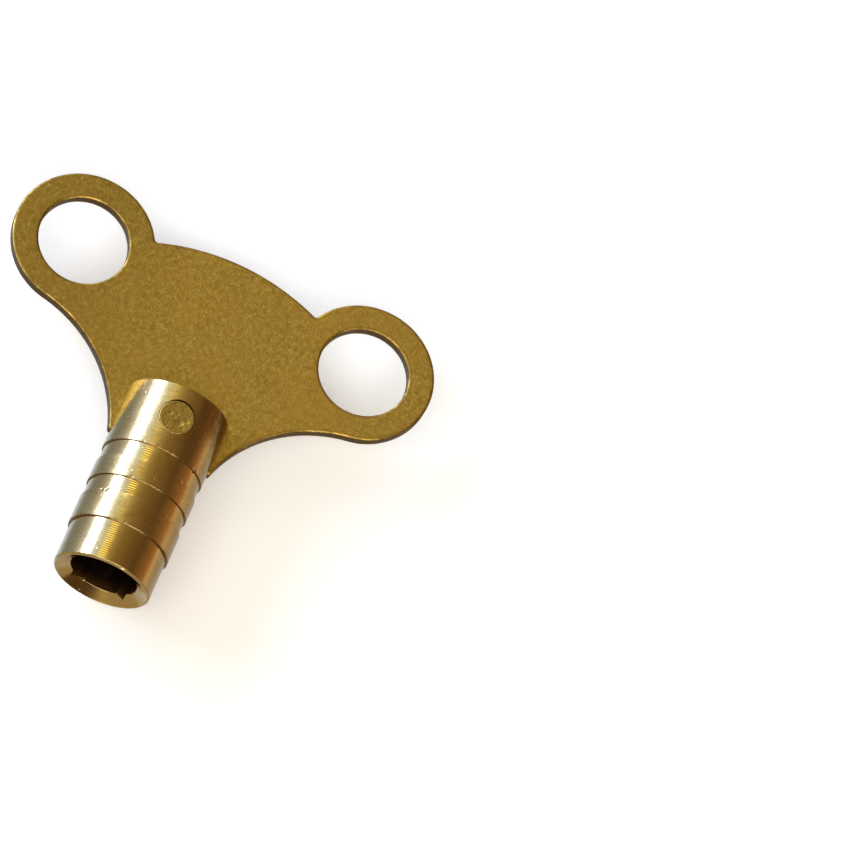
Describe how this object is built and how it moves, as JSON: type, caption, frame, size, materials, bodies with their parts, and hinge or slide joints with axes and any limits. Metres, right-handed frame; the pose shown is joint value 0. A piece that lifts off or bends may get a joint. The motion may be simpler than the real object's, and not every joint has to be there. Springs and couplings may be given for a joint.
{
  "type": "radiator bleed key",
  "caption": "Brass clock-type radiator bleed key: a turned barrel with a countersunk square socket carries a pinned wing plate with a finger ring at each end.",
  "frame": {"origin": "on the barrel's axis, in the plane of the socket's mouth", "axes": "the key lies flat: +Y along the barrel from the mouth to the wings, +X across the wings, +Z out of the side that shows the cross pin"},
  "size_m": [0.0412, 0.0361, 0.0096],
  "materials": {
    "turned_brass": "bright turned, with fine rings from the tool",
    "sheet_brass": "dull, lightly tarnished and scratched, with bright rolled edges",
    "pin_brass": "dull cut end with small dents"
  },
  "bodies": {
    "root": {"barrel": "turned_brass", "wing_plate": "sheet_brass", "cross_pin": "pin_brass"}
  },
  "joints": []
}
